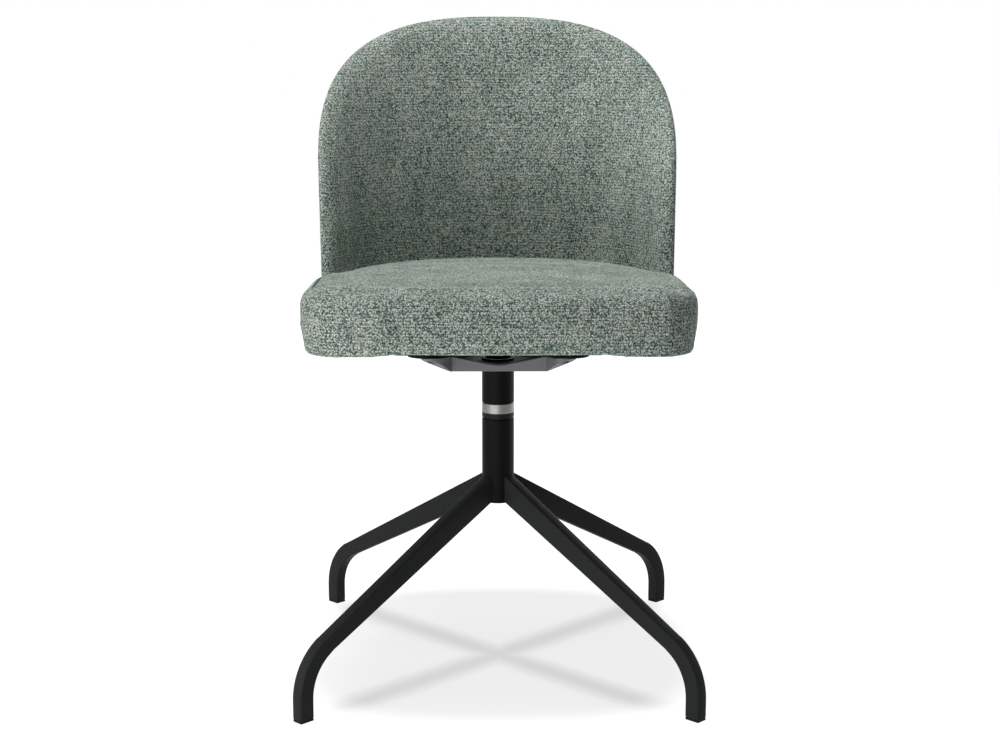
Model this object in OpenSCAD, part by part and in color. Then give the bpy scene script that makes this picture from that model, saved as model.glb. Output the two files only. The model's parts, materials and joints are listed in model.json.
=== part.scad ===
// Swivel dining chair: four bent legs, a turning column and an upholstered seat with a tub back.
// Millimetres, +Z up, front towards -Y. The origin is on the swivel axis at floor level.

/* [Legs] */
// Distance from the swivel axis to the outer face of each foot
leg_reach = 328.5; // [300:0.5:350]
// Thickness of a leg across its flat sides
leg_t = 15.5; // [12:0.5:18]
// Depth of the upright foot, measured towards the axis
foot_depth = 19.5; // [16:0.5:24]
// Height at which the upper edge of a leg meets the column
leg_top_z = 237.5; // [225:0.5:250]
// Height at which the bend above the foot ends
ankle_z = 25; // [18:0.5:35]
// Radius of the bend on its outer side
outer_bend_r = 76; // [65:1:90]
// Radius of the bend on its inner side
inner_bend_r = 58; // [50:1:62]
// Height of the plastic glide under each foot
glide_h = 2.5; // [2:0.5:5]
// Diameter of the glide's stem
glide_stem_d = 6; // [4:0.5:8]
// Length of the glide's stem inside the foot
glide_stem_h = 14; // [8:1:18]

/* [Column] */
// Outer diameter of both column tubes
tube_d = 40; // [36:0.5:48]
// Wall of both column tubes
tube_wall = 3; // [2:0.25:4]
// Height of the lower tube's bottom edge
hub_bottom_z = 204; // [198:0.5:210]
// Height of the lower tube's top edge
lower_tube_top_z = 309.5; // [300:0.5:320]
// Height of the dark groove below the collar
groove_h = 2.2; // [1:0.1:4]
// Height of the black collar of the upper bush
collar_h = 5.8; // [4:0.1:8]
// Height of the steel ring
ring_h = 11.6; // [8:0.1:16]
// Height of the dark washer above the steel ring
top_washer_h = 1.2; // [0.8:0.1:2]
// Diameter of the spindle
spindle_d = 25; // [20:0.5:28]
// Length of each bush along the spindle
bush_len = 24; // [16:1:30]

/* [Bracket] */
// Width of the bracket's flat bottom
bracket_w = 117; // [100:1:130]
// Height of the bracket's underside
bracket_bottom_z = 378; // [370:0.5:385]
// Height of the bracket's arms at their top
bracket_top_z = 399.5; // [397:0.5:405]
// Floor thickness of the bracket
bracket_floor = 6; // [4:0.5:8]
// Wall thickness of the bracket
bracket_wall = 8; // [5:0.5:10]
// Thickness of an ear at its outer end
ear_edge_t = 1; // [0.8:0.1:2]
// Diameter of the ear at the end of each arm
ear_d = 27; // [24:0.5:28]
// Distance from the axis to the screw hole in each ear
ear_r = 112; // [109:0.5:113]
// Depth of the scoop in the middle of each wall, below the bracket's top
scoop_drop = 14; // [8:0.5:15]
// Radius of the scoop's rounded bottom
scoop_r = 60; // [30:1:80]
// Depth of the hollow in the front and rear edges of the mounting plate
plate_hollow = 30; // [10:1:34]
// Width of the black mounting plate
plate_w = 218; // [210:1:230]
// Front to back size of the mounting plate
plate_d = 190; // [184:1:205]
// Thickness of the mounting plate
plate_t = 4; // [3:0.5:6]
// Width of the spacer board
spacer_w = 264; // [250:1:280]
// Front to back size of the spacer board
spacer_d = 202; // [196:1:214]
// Thickness of the spacer board
spacer_t = 25; // [20:0.5:26]

/* [Seat] */
// Half of the seat's width at its fullest
seat_half_w = 226; // [220:1:234]
// Distance from the axis to the front of the seat
seat_front = 235; // [220:1:250]
// Corner radius of the seat at the front
seat_corner_r = 60; // [40:1:80]
// How far the front edge bows forward in the middle
seat_bow = 7; // [0:0.5:14]
// Height of the top of the seat near its front edge
seat_top_z = 498; // [494:0.5:504]
// How far the seat's widest line lies below its top
seat_wide_drop = 32; // [28:0.5:36]
// Drop of the seat's top from the front to the back
seat_fall = 8.5; // [0:0.5:14]
// Height of the seat's lower edge at the corners
seat_edge_z = 419; // [417:0.5:421]
// How far the lower front edge rises in the middle
seat_arch = 7.5; // [0:0.5:8]
// Thickness of the plywood seat board
board_t = 12; // [9:0.5:14]
// How far the seat board lies inside the upholstery's edge
board_inset = 14; // [12:0.5:22]
// Thickness of the cloth cover under the seat
dust_t = 0.8; // [0.6:0.1:1.2]

/* [Back] */
// Height of the top of the back
back_top_z = 809; // [790:0.5:830]
// Height of the lower edge of the back
back_bottom_z = 429; // [429:0.5:435]
// Half of the back's outer width at seat height
back_half_w = 220; // [215:0.5:223]
// Distance from the axis to the outside of the back at seat height
back_rear = 250; // [240:1:260]
// How much the plan radius behind the sitter exceeds half of the back's width
back_rear_extra = 40; // [25:1:60]
// Radius of the back's plan at its corners
back_corner_r = 170; // [160:1:175]
// Height at which the arch of the back begins
arch_start_z = 633.5; // [610:0.5:645]
// Distance along the back from its middle to the start of the arch
arch_half = 331.5; // [315:0.5:340]
// Padding thickness that the back comes to in its middle
pad_full_t = 50; // [42:0.5:56]
// Distance over which the padding thickens from the edge
pad_reach = 86; // [70:1:110]
// Radius of the lower corners of the back
back_low_r = 16; // [10:0.5:24]
// Thickness of the outer padded panel
panel_t = 5; // [4:0.5:6]
// Thickness of the moulded shell inside the back
shell_t = 6; // [5:0.5:7]

/* [Hidden] */
$fn = 96;

// Fits and cuts
run_clear = 0.05;      // spindle in its bushes, on the radius
fit_clear = 0.03;      // fixed round fits, on the radius
soft_clear = 0.3;      // upholstery beside its neighbours
layer_gap = 0.7;       // between the curved layers of the back, and the seat and the back
over = 2;              // overrun of every cut
glide_margin = 0.6;    // a glide is this much smaller than its foot, all round

// Levels of the column, from the lower tube up
tube_r = tube_d / 2;
bore_r = tube_r - tube_wall;
spindle_r = spindle_d / 2;
collar_z = lower_tube_top_z + groove_h;
ring_z = collar_z + collar_h;
top_washer_z = ring_z + ring_h;
upper_tube_z = top_washer_z + top_washer_h;
neck_r = tube_r - groove_h;
upper_tube_stub = 2;   // how far the upper tube stands up inside the bracket
spindle_head_h = 26;
lower_bush_z = hub_bottom_z + 14;
retainer_t = 2;
retainer_r = bore_r - 1;
retainer_gap = 0.3;
clip_t = 1.5;
clip_w = 3;
clip_depth = 1;
clip_mouth = 9;
spindle_tip = 3;
cap_t = 3;
cap_lip = 5;
cap_wall = 2;
edge_chamfer = 1;

// Fasteners
screw_r = 3;
screw_clear = 0.25;
screw_head_r = 5;
screw_head_h = 3.3;
screw_socket_r = 2.5;
screw_socket_h = 2;
screw_end_gap = 1;
spot_depth = 4;        // metal left above a spot face is at least this
tee_barrel_r = 4;
tee_barrel_h = 9;
tee_flange_r = 9.5;
tee_flange_h = 1.5;
wood_screw_r = 2.1;
wood_screw_h = 10;
wood_head_r = 4;
wood_head_h = 2.4;

// Stack above the bracket
plate_z = bracket_top_z;
spacer_z = plate_z + plate_t;
dust_z = spacer_z + spacer_t;
board_z = dust_z + dust_t;
board_top_z = board_z + board_t;
pocket_z = board_top_z + soft_clear;
spacer_bevel = 6;
spacer_corner_r = 14;
plate_corner_r = 24;
board_mid_z = (board_z + board_top_z) / 2;

// Back brackets
angle_t = 3;
angle_w = 30;
angle_h = 52;
angle_foot = 110;
angle_gap = 0.4;      // plate in front of the shell
angle_slot = 12;       // depth of the slot in the padding
angle_hole_share = [0.5, 0.84];
foot_hole_share = [0.62, 0.88];
insert_r = 4.5;
button_head_r = 5.2;
button_head_h = 3.2;

// Shape of the back
lean = 0.13;           // backward run for each unit of height
flare = 0.05;          // outward run for each unit of height
taper = 0.25;          // forward run of the front edge below the arch
arch_power = 2.571;
arch_soften = 14;      // height over which the front edge turns into the arch
plan_ref_z = 485;
back_rear_r = back_half_w + back_rear_extra;
edge_pad = 26;
seam_inset = 10;
shell_inset = 14;
cols = 28;             // facets across the back
rows = 10;             // facets up the padding
shell_rows = 6;        // facets up the shell and the outer panel

// Shape of the seat
seat_ref_y = -175;
seat_mid_y = -15;
seat_rear_lift = 10;   // lower edge at the rear stands clear of the angle brackets
seat_arch_half = 205;
wing_gap = 11;         // seat's side ends this far in front of the back's edge
wing_lead = 3;         // seat's rear corner stands this far in front of that edge
side_flat_n = 5;
corner_n = 6;
front_n = 13;

sides = [-1, 1];
corners = [45 : 90 : 315];

// Plan of the back: a U of two radii with straight ends, s along it from the middle.
// Each place is [x, y], d inwards from the outer face.
plan_turn = asin((back_half_w - back_corner_r) / (back_rear_r - back_corner_r));
plan_cx = sin(plan_turn) * (back_rear_r - back_corner_r);
plan_cy = back_rear - back_rear_r + cos(plan_turn) * (back_rear_r - back_corner_r);
rear_run = back_rear_r * plan_turn * PI / 180;
corner_run = back_corner_r * (90 - plan_turn) * PI / 180;
function plan_right(s, d) =
    s < rear_run
    ? let (t = s / back_rear_r * 180 / PI)
      [(back_rear_r - d) * sin(t), back_rear - back_rear_r + (back_rear_r - d) * cos(t)]
    : s < rear_run + corner_run
    ? let (t = plan_turn + (s - rear_run) / back_corner_r * 180 / PI)
      [plan_cx + (back_corner_r - d) * sin(t), plan_cy + (back_corner_r - d) * cos(t)]
    : [back_half_w - d, plan_cy - (s - rear_run - corner_run)];
function back_point(s, z, d) =
    let (p = plan_right(abs(s), d), side = s < 0 ? -1 : 1, up = z - plan_ref_z)
    [side * p.x * (1 + flare * up / back_half_w), p.y + lean * up, z];

// Outline of the back, unrolled: s along the back and z up. The front edge leans forward
// below the arch and both run into each other softly.
function rise(up) = (up + sqrt(up * up + arch_soften * arch_soften)) / 2;
arch_rise = rise(back_top_z - arch_start_z);
function arch_share(z) = rise(z - arch_start_z) / arch_rise;
function edge_s(z) =
    arch_half * pow(max(0, 1 - arch_share(z)), 1 / arch_power)
    + taper * (rise(z - arch_start_z) - z + arch_start_z) * (1 - arch_share(z));

// Height of the arch over the place t, from 0 in the middle to 1 at the front edge
function arch_z(t) =
    let (up = arch_rise * (1 - pow(abs(t), arch_power) * (1 - arch_share(arch_start_z))))
    arch_start_z + up - arch_soften * arch_soften / 4 / up;

// Padding thickness of the back at (s, z): thin at the front and top edge, full in the middle
function top_distance(s, z) = max(0, arch_z(min(1, abs(s) / edge_s(arch_start_z))) - z);
function edge_distance(s, z) =
    let (a = max(0, edge_s(z) - abs(s)), b = top_distance(s, z))
    a * b / max(over, norm([a, b]));
function pad_t(s, z) = pad_full_t * (1 - exp(-(edge_distance(s, z) + edge_pad) / pad_reach));

// Place [s, z] in the sheet of the back that lies inset from its outline, t across and v up.
// Lower corners are turned into quarter rounds.
function across(i) = sin(90 * (2 * i / cols - 1));
function upward(j, n) = (1 - cos(180 * j / n)) / 2;
function sheet_place(t, v, inset) =
    let (low = back_bottom_z + inset,
        z = low + (arch_z(t) - inset - low) * v,
        half = edge_s(min(z, arch_start_z)) - inset,
        r = max(fit_clear, back_low_r - inset),
        a = min(1, max(0, 1 - (1 - abs(t)) * half / r)),
        b = min(1, max(0, 1 - (z - low) / r)),
        side = t < 0 ? -1 : 1)
    [t * half + side * r * (a * sqrt(1 - b * b / 2) - a), z - r * (b * sqrt(1 - a * a / 2) - b)];

// Depth inside the outer face: a fixed part and a part of the local padding
function sheet_point(t, v, inset, fixed, part) =
    let (p = sheet_place(t, v, inset))
    back_point(p.x, p.y, fixed + part * pad_t(p.x, p.y));
function sheet(n, inset, fixed, part) =
    [for (j = [0 : n]) for (i = [0 : cols])
        sheet_point(across(i), upward(j, n), inset, fixed, part)];
function rim_ij(k, n) =
    k < cols ? [k, 0]
    : k < cols + n ? [cols, k - cols]
    : k < 2 * cols + n ? [2 * cols + n - k, n]
    : [0, 2 * (cols + n) - k];
function rim(n, inset, fixed, part) =
    [for (k = [0 : 2 * (cols + n) - 1])
        let (p = rim_ij(k, n))
        sheet_point(across(p.x), upward(p.y, n), inset, fixed, part)];

// Closed solid between an outer and an inner sheet, with rings round its edge
module sheet_solid(n, outer, rings, inner) {
    around = 2 * (cols + n);
    inner_start = len(outer) + around * len(rings);
    function cell(i, j) = j * (cols + 1) + i;
    function at(ring, k) =
        let (kk = k % around, p = rim_ij(kk, n))
        ring == 0 ? cell(p.x, p.y)
        : ring > len(rings) ? inner_start + cell(p.x, p.y)
        : len(outer) + (ring - 1) * around + kk;
    points = concat(outer, [for (r = rings) for (p = r) p], inner);
    faces = concat(
        [for (j = [0 : n - 1]) for (i = [0 : cols - 1])
            each [[cell(i, j), cell(i + 1, j), cell(i + 1, j + 1)],
                [cell(i, j), cell(i + 1, j + 1), cell(i, j + 1)]]],
        [for (r = [0 : len(rings)]) for (k = [0 : around - 1])
            each [[at(r, k), at(r + 1, k), at(r + 1, k + 1)],
                [at(r, k), at(r + 1, k + 1), at(r, k + 1)]]],
        [for (j = [0 : n - 1]) for (i = [0 : cols - 1])
            let (a = inner_start + cell(i, j), b = inner_start + cell(i + 1, j),
                c = inner_start + cell(i + 1, j + 1), e = inner_start + cell(i, j + 1))
            each [[a, c, b], [a, e, c]]]);
    polyhedron(points = points, faces = faces, convexity = 10);
}

// Closed solid through rings of equal length, with a point at each end
module loft(first, rings, last) {
    n = len(rings[0]);
    m = len(rings);
    points = concat([first], [for (r = rings) for (p = r) p], [last]);
    faces = concat(
        [for (i = [0 : n - 1]) [0, 1 + i, 1 + (i + 1) % n]],
        [for (j = [0 : m - 2]) for (i = [0 : n - 1])
            let (a = 1 + j * n + i, b = 1 + j * n + (i + 1) % n)
            each [[a, a + n, b + n], [a, b + n, b]]],
        [for (i = [0 : n - 1])
            [m * n + 1, 1 + (m - 1) * n + (i + 1) % n, 1 + (m - 1) * n + i]]);
    polyhedron(points = points, faces = faces, convexity = 10);
}

// Plan of the seat at height z, inset from its edge. The rear follows the inside of the back,
// the front is a rounded square with a bowed front edge.
function seat_rear(z, inset) =
    let (half = edge_s(z) + wing_lead)
    [for (i = [cols : -1 : 0])
        let (s = across(i) * half, p = back_point(s, z, pad_t(s, z) + layer_gap + inset))
        [p.x, p.y]];
function wing_y(z) = back_point(edge_s(z), z, 0).y - wing_gap;
function seat_left(z, inset) =
    let (top = wing_y(z) - inset / 2, low = seat_corner_r - seat_front)
    [for (i = [0 : side_flat_n - 1])
        [inset - seat_half_w, top + (low - top) * i / side_flat_n]];
function seat_corner_left(inset) =
    [for (i = [0 : corner_n - 1])
        let (t = 90 * i / corner_n)
        [seat_corner_r - seat_half_w - (seat_corner_r - inset) * cos(t),
            seat_corner_r - seat_front - (seat_corner_r - inset) * sin(t)]];
function seat_front_line(inset) =
    let (w = seat_half_w - seat_corner_r)
    [for (i = [0 : front_n - 1])
        let (a = 2 * i / (front_n - 1) - 1)
        [a * w, inset - seat_front - seat_bow * (1 - a * a)]];
function flip(list) = [for (i = [len(list) - 1 : -1 : 0]) [-list[i].x, list[i].y]];
function seat_plan(z, inset) = concat(
    seat_rear(z, inset),
    seat_left(z, inset),
    seat_corner_left(inset),
    seat_front_line(inset),
    flip(seat_corner_left(inset)),
    flip(seat_left(z, inset)));

// A ring of the seat: front_gain widens the inset along the front edge for its softer roll,
// fall tips the ring with the seat's top, arch lifts it along the lower front and rear edges.
// With plan_z given, its plan is the one of that height and stands upright.
function front_part(p) = min(1, max(0, (seat_ref_y - p.y) / (seat_corner_r / 2) + 1));
function rear_part(p) = min(1, max(0, (p.y - seat_corner_r) / seat_corner_r));
function seat_ring(share, inset, z, front_gain, fall, arch, plan_z = 0) =
    let (low_z = plan_z > 0 ? plan_z : min(z, plan_ref_z))
    [for (p = seat_plan(low_z, inset))
        let (f = front_part(p),
            x = p.x * share,
            y0 = p.y + inset * front_gain * f,
            y = seat_mid_y + (y0 - seat_mid_y) * share,
            low = arch * (seat_arch * f * (1 - pow(min(1, abs(x) / seat_arch_half), arch_power))
                + seat_rear_lift * rear_part(p)),
            top = z + low - fall * seat_fall * (y - seat_ref_y) / (back_rear - seat_ref_y))
        [x, y + (plan_z > 0 ? 0 : lean * min(0, top - low_z) * rear_part(p)), top]];

// Inset and height of the seat's side, as shares of the space above and below its widest line
seat_wide_z = seat_top_z - seat_wide_drop;
low_h = seat_wide_z - seat_edge_z;
high_h = seat_top_z - seat_wide_z;
low_shares = [[0.36, 0.02], [0.24, 0.08], [0.15, 0.2], [0.08, 0.42], [0.02, 0.72], [0, 1]];
high_shares = [[0.1, 0.3], [0.4, 0.53], [0.9, 0.71], [1.8, 0.84], [3.3, 0.92], [6, 0.97]];
crown_shares = [[0.78, 0.975], [0.5, 1], [0.25, 1.02]];
crown_top_share = 1.02;
pocket_ring_share = 0.5;
front_gain_share = 0.7;
low_in = board_inset * 2;
roll_in = 6.5;
crown_in = roll_in * high_shares[len(high_shares) - 1].x;

module seat_form() {
    skirt = board_inset - soft_clear;
    loft([0, seat_mid_y, pocket_z],
        concat(
            [seat_ring(pocket_ring_share, skirt, pocket_z, 0, 0, 0, board_mid_z),
                seat_ring(1, skirt, pocket_z, 0, 0, 0, board_mid_z),
                seat_ring(1, skirt, seat_edge_z + dust_t, 0, 0, 1, board_mid_z)],
            [for (p = low_shares)
                seat_ring(1, p.x * low_in, seat_edge_z + p.y * low_h, 0, 0, 1 - p.y)],
            [for (p = high_shares)
                seat_ring(1, p.x * roll_in, seat_wide_z + p.y * high_h, front_gain_share,
                    p.y * p.y, 0)],
            [for (p = crown_shares)
                seat_ring(p.x, crown_in, seat_wide_z + p.y * high_h, front_gain_share, 1, 0)]),
        [0, seat_mid_y, seat_wide_z + high_h * crown_top_share
            - seat_fall * (seat_mid_y - seat_ref_y) / (back_rear - seat_ref_y)]);
}

// One leg in its own plane: r outwards along X and z along Y
leg_cr = leg_reach - outer_bend_r;
leg_in_r = leg_reach - foot_depth;
leg_ci = leg_in_r - inner_bend_r;
function tangent_angle(hub_z, centre_r, bend_r) =
    let (dz = hub_z - ankle_z, dr = centre_r - tube_r)
    atan2(dz, dr) - asin(bend_r / norm([dz, dr]));
top_angle = tangent_angle(leg_top_z, leg_cr, outer_bend_r);
low_angle = tangent_angle(hub_bottom_z, leg_ci, inner_bend_r);
top_touch = [leg_cr + outer_bend_r * sin(top_angle), ankle_z + outer_bend_r * cos(top_angle)];
low_touch = [leg_ci + inner_bend_r * sin(low_angle), ankle_z + inner_bend_r * cos(low_angle)];
// Flat shape under a line from the column to a touching point, then down to the ankle,
// with the round bend that joins those two places
module leg_shape(start, touch, centre_r, bend_r, turn, bottom, t) {
    far = 2 * bend_r;
    linear_extrude(height = t, center = true)
        polygon([start, touch, [centre_r + bend_r, ankle_z], [centre_r + bend_r, bottom],
            [start.x, bottom]]);
    intersection() {
        translate([centre_r, ankle_z, 0]) cylinder(r = bend_r, h = t, center = true);
        linear_extrude(height = t, center = true)
            polygon([[centre_r, ankle_z],
                [centre_r + far * sin(turn), ankle_z + far * cos(turn)],
                [centre_r + far, ankle_z + far], [centre_r + far, ankle_z]]);
    }
}
module leg_profile() {
    difference() {
        leg_shape([0, leg_top_z + tube_r * tan(top_angle)], top_touch, leg_cr, outer_bend_r,
            top_angle, glide_h, leg_t);
        leg_shape([-over, hub_bottom_z + (tube_r + over) * tan(low_angle)], low_touch, leg_ci,
            inner_bend_r, low_angle, 0, leg_t + 2 * over);
    }
}
foot_mid_r = leg_reach - foot_depth / 2;
module leg(turn) {
    color("#26282a") rotate([0, 0, turn]) difference() {
        rotate([90, 0, 0]) leg_profile();
        translate([0, 0, hub_bottom_z - over]) cylinder(r = tube_r, h = leg_top_z);
        translate([foot_mid_r, 0, 0])
            cylinder(r = glide_stem_d / 2 + fit_clear, h = glide_h + glide_stem_h + over);
    }
}
module glide(turn) {
    color("#1a1a1a") rotate([0, 0, turn]) translate([foot_mid_r, 0, 0]) {
        translate([glide_margin - foot_depth / 2, glide_margin - leg_t / 2, 0])
            cube([foot_depth - 2 * glide_margin, leg_t - 2 * glide_margin, glide_h]);
        cylinder(r = glide_stem_d / 2, h = glide_h + glide_stem_h);
    }
}
module leg_front_left() { leg(-135); }
module leg_front_right() { leg(-45); }
module leg_rear_left() { leg(135); }
module leg_rear_right() { leg(45); }
module glide_front_left() { glide(-135); }
module glide_front_right() { glide(-45); }
module glide_rear_left() { glide(135); }
module glide_rear_right() { glide(45); }

// A tube from z0 to z1
module pipe(r, hole, z0, z1) {
    translate([0, 0, z0]) difference() {
        cylinder(r = r, h = z1 - z0);
        translate([0, 0, -over]) cylinder(r = hole, h = z1 - z0 + 2 * over);
    }
}
module base_tube() {
    color("#26282a") pipe(tube_r, bore_r, hub_bottom_z, lower_tube_top_z);
}
module hub_cap() {
    color("#1a1a1a") {
        translate([0, 0, hub_bottom_z]) cylinder(r = bore_r - fit_clear, h = cap_t);
        pipe(bore_r - fit_clear, bore_r - cap_wall, hub_bottom_z + cap_t,
            hub_bottom_z + cap_t + cap_lip);
    }
}
bush_bore_r = spindle_r + run_clear;
module lower_bush() {
    color("#dedcd2")
        pipe(bore_r - fit_clear, bush_bore_r, lower_bush_z, lower_bush_z + bush_len);
}
module upper_bush() {
    color("#161616") {
        pipe(bore_r - fit_clear, bush_bore_r, lower_tube_top_z - bush_len, lower_tube_top_z);
        pipe(neck_r, bush_bore_r, lower_tube_top_z, collar_z);
        pipe(tube_r, bush_bore_r, collar_z, ring_z);
    }
}

retainer_top_z = lower_bush_z - retainer_gap;
clip_z = retainer_top_z - retainer_t - clip_t;
spindle_z = clip_z - spindle_tip;
module spindle() {
    color("#8d9094") difference() {
        union() {
            translate([0, 0, spindle_z])
                cylinder(r1 = spindle_r - edge_chamfer, r2 = spindle_r, h = edge_chamfer);
            translate([0, 0, spindle_z + edge_chamfer])
                cylinder(r = spindle_r, h = upper_tube_z - spindle_z - edge_chamfer);
            translate([0, 0, upper_tube_z]) cylinder(r = bore_r - fit_clear, h = spindle_head_h);
        }
        pipe(spindle_r + over, spindle_r - clip_depth, clip_z, clip_z + clip_t);
    }
}
module retaining_washer() {
    color("#9a9da1")
        pipe(retainer_r, spindle_r + run_clear, retainer_top_z - retainer_t, retainer_top_z);
}
module circlip() {
    color("#55585c") difference() {
        pipe(spindle_r + clip_w - clip_depth, spindle_r - clip_depth + fit_clear,
            clip_z + fit_clear, clip_z + clip_t - fit_clear);
        translate([0, -clip_mouth / 2, clip_z - over])
            cube([spindle_d, clip_mouth, clip_t + 2 * over]);
    }
}
module swivel_ring() {
    color("#b9bcbe") pipe(tube_r, spindle_r + run_clear, ring_z, top_washer_z);
}
module top_washer() {
    color("#161616") pipe(neck_r, spindle_r + run_clear, top_washer_z, upper_tube_z);
}
upper_tube_top_z = bracket_bottom_z + bracket_floor + upper_tube_stub;
module upper_tube() {
    color("#26282a") pipe(tube_r, bore_r, upper_tube_z, upper_tube_top_z);
}

// Four-armed bracket: a square pan with scooped walls and an upright ear at each corner.
// The undersides of the ears slope up and outwards from the pan's bottom.
corner_r = bracket_w / sqrt(2);
bracket_h = bracket_top_z - bracket_bottom_z;
ear_slope_angle = asin(ear_d / 2 / (ear_r - corner_r));
scoop_angle = 12;
spot_z = bracket_top_z - spot_depth;
module ear_plan() {
    touch = (ear_r - corner_r) * cos(ear_slope_angle);
    polygon([[tube_d, 0], [corner_r, -over], [corner_r + touch * cos(ear_slope_angle),
        -touch * sin(ear_slope_angle)], [corner_r + touch * cos(ear_slope_angle),
        touch * sin(ear_slope_angle)], [corner_r, over]]);
}
module ear() {
    intersection() {
        translate([0, 0, bracket_bottom_z]) {
            linear_extrude(height = bracket_h) ear_plan();
            translate([ear_r, 0, 0]) cylinder(d = ear_d, h = bracket_h);
        }
        rotate([90, 0, 0]) linear_extrude(height = 2 * ear_d, center = true)
            polygon([[0, bracket_bottom_z], [corner_r, bracket_bottom_z],
                [ear_r + ear_d / 2, bracket_top_z - ear_edge_t],
                [ear_r + ear_d, bracket_top_z - ear_edge_t], [ear_r + ear_d, bracket_top_z],
                [0, bracket_top_z]]);
    }
}
module scoop() {
    side_x = scoop_r * sin(scoop_angle);
    low_z = bracket_top_z - scoop_drop;
    side_z = low_z + scoop_r * (1 - cos(scoop_angle));
    top_x = side_x + (bracket_top_z + over - side_z) / tan(scoop_angle);
    rotate([90, 0, 0]) {
        linear_extrude(height = 2 * bracket_w, center = true)
            polygon([[-side_x, side_z], [side_x, side_z], [top_x, bracket_top_z + over],
                [-top_x, bracket_top_z + over]]);
        translate([0, low_z + scoop_r, 0]) cylinder(r = scoop_r, h = 2 * bracket_w, center = true);
    }
}
module seat_bracket() {
    inner_w = bracket_w - 2 * bracket_wall;
    color("#64666a") difference() {
        union() {
            translate([-bracket_w / 2, -bracket_w / 2, bracket_bottom_z])
                cube([bracket_w, bracket_w, bracket_h]);
            for (turn = corners) rotate([0, 0, turn]) ear();
        }
        translate([-inner_w / 2, -inner_w / 2, bracket_bottom_z + bracket_floor])
            cube([inner_w, inner_w, bracket_h]);
        for (turn = [0, 90]) rotate([0, 0, turn]) scoop();
        translate([0, 0, bracket_bottom_z - over])
            cylinder(r = tube_r + fit_clear, h = bracket_floor + 2 * over);
        for (turn = corners) rotate([0, 0, turn]) translate([ear_r, 0, 0]) {
            translate([0, 0, bracket_bottom_z]) cylinder(r = screw_r + screw_clear, h = bracket_h + over);
            translate([0, 0, bracket_bottom_z - over])
                cylinder(r = screw_head_r + screw_clear * 2, h = spot_z - bracket_bottom_z + over);
        }
    }
}

// Places of the four screws that hold the seat to the bracket
module each_ear() {
    for (turn = corners) rotate([0, 0, turn]) translate([ear_r, 0, 0]) children();
}
module rounded_slab(w, d, r, h) {
    linear_extrude(height = h) union() {
        square([w - 2 * r, d], center = true);
        square([w, d - 2 * r], center = true);
        for (x = sides) for (y = sides)
            translate([x * (w / 2 - r), y * (d / 2 - r)]) circle(r = r);
    }
}
module mounting_plate() {
    half_w = plate_w / 2 - plate_corner_r;
    hollow_r = (half_w * half_w + plate_hollow * plate_hollow) / (2 * plate_hollow);
    color("#141414") difference() {
        translate([0, 0, plate_z]) rounded_slab(plate_w, plate_d, plate_corner_r, plate_t);
        each_ear() translate([0, 0, plate_z - over])
            cylinder(r = screw_r + screw_clear, h = plate_t + 2 * over);
        translate([0, 0, plate_z - over]) cylinder(r = tube_r, h = plate_t + 2 * over);
        for (side = sides)
            translate([0, side * (plate_d / 2 - plate_hollow + hollow_r), plate_z - over])
                cylinder(r = hollow_r, h = plate_t + 2 * over);
    }
}
module spacer_board() {
    color("#1b1a19") difference() {
        union() {
            translate([0, 0, spacer_z])
                rounded_slab(spacer_w - 2 * spacer_bevel, spacer_d - 2 * spacer_bevel,
                    spacer_corner_r - spacer_bevel, spacer_bevel);
            translate([0, 0, spacer_z + spacer_bevel])
                rounded_slab(spacer_w, spacer_d, spacer_corner_r, spacer_t - spacer_bevel);
        }
        each_ear() translate([0, 0, spacer_z - over])
            cylinder(r = screw_r + screw_clear, h = spacer_t + 2 * over);
    }
}
module bracket_screws() {
    top = board_top_z - tee_flange_h - screw_end_gap;
    color("#3a3a3c") each_ear() difference() {
        union() {
            translate([0, 0, spot_z - screw_head_h]) cylinder(r = screw_head_r, h = screw_head_h);
            translate([0, 0, spot_z]) cylinder(r = screw_r, h = top - spot_z);
        }
        translate([0, 0, spot_z - screw_head_h - over])
            cylinder(r = screw_socket_r, h = screw_socket_h + over, $fn = 6);
    }
}
module seat_slab(inset, z, h) {
    translate([0, 0, z]) linear_extrude(height = h)
        polygon(seat_plan(board_mid_z, inset));
}

// Places of the two angle brackets: local +Y points out of the back and +Z up its face.
// Each stands flat on one facet of the shell.
angle_facet = cols / 2 + 1;
facet_turn = edge_s(back_bottom_z) / back_rear_r * 180 / PI / 2;
angle_turn = (across(angle_facet + 1) + across(angle_facet)) * facet_turn;
angle_half = (across(angle_facet + 1) - across(angle_facet)) * facet_turn;
panel_d = panel_t;
shell_d = panel_t + layer_gap;
shell_in_d = shell_d + shell_t;
function facet_d(d) = d + (back_rear_r - d) * (1 - cos(angle_half));
angle_d = facet_d(shell_in_d) + angle_gap;
back_arc_y = back_rear - back_rear_r;
angle_z = dust_z - angle_t;
lean_angle = atan(lean);
module each_angle() {
    for (turn = sides * angle_turn)
        translate([0, back_arc_y + lean * (angle_z - plan_ref_z), angle_z])
            rotate([0, 0, turn]) translate([0, back_rear_r, 0]) children();
}

// Upright slice of a bracket's room: from depth d0 to d1 and from z0 to z1, along the lean
module upright_slab(w, d0, d1, z0, z1) {
    rotate([90, 0, 90]) linear_extrude(height = w, center = true)
        polygon([[lean * z0 - d0, z0], [lean * z1 - d0, z1], [lean * z1 - d1, z1],
            [lean * z0 - d1, z0]]);
}

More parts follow.
